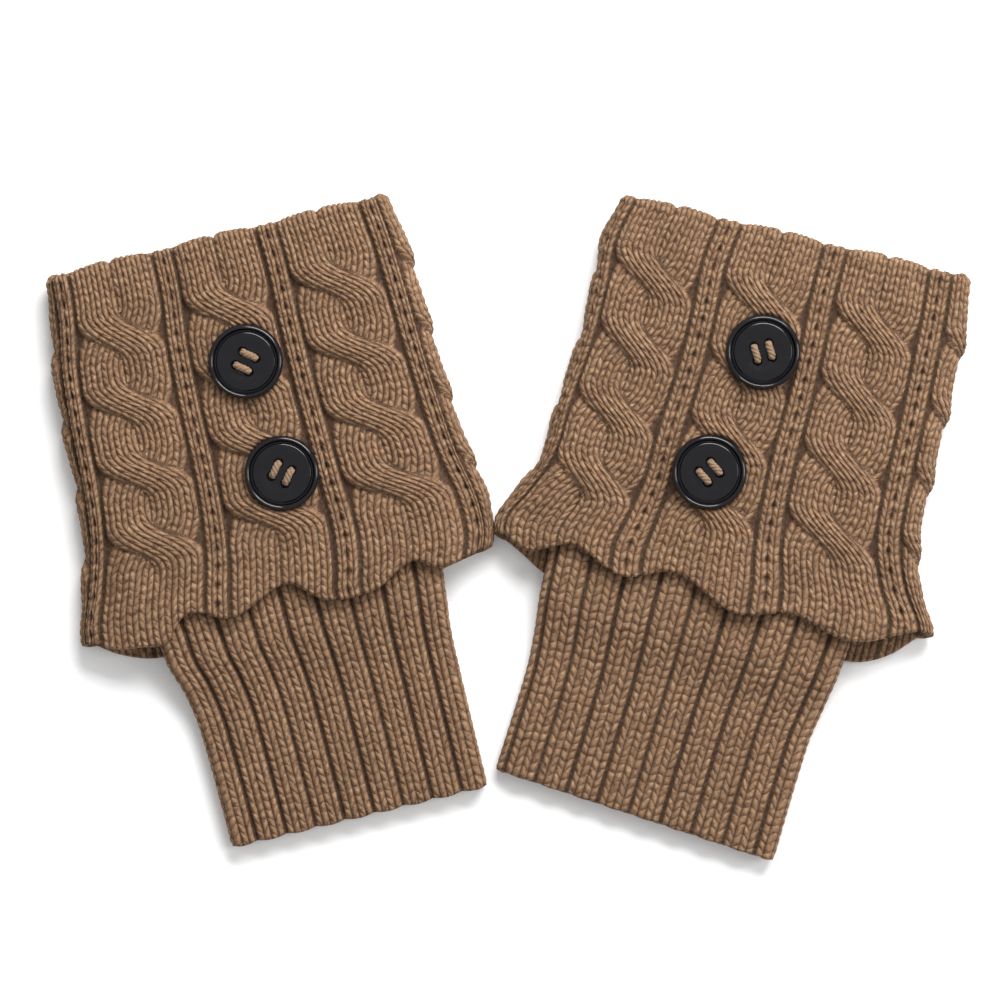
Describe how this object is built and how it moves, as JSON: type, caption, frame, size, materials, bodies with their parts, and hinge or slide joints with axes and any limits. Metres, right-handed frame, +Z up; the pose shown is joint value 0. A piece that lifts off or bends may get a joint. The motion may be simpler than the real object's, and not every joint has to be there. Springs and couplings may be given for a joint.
{
  "type": "pair of leg warmers",
  "caption": "Pair of short knitted leg warmers lying flat, each a ribbed tube with a cable-knit cuff turned down over it and round buttons on the cuff.",
  "frame": {"origin": "middle of the pair's footprint, on the table they lie on", "axes": "+X across the pair from the left one to the right one, +Y towards their folded tops, +Z up off the table"},
  "size_m": [0.314, 0.2262, 0.0169],
  "materials": {
    "cable_knit": "matt heathered acrylic yarn, cable and ladder-rib knit",
    "rib_knit": "matt heathered acrylic yarn, two-by-two rib knit",
    "button": "glossy moulded black plastic"
  },
  "bodies": {
    "root": {"left_cuff": "cable_knit", "left_leg": "rib_knit", "left_button_upper": "button", "left_button_lower": "button", "right_cuff": "cable_knit", "right_leg": "rib_knit", "right_button_upper": "button", "right_button_lower": "button"}
  },
  "joints": []
}
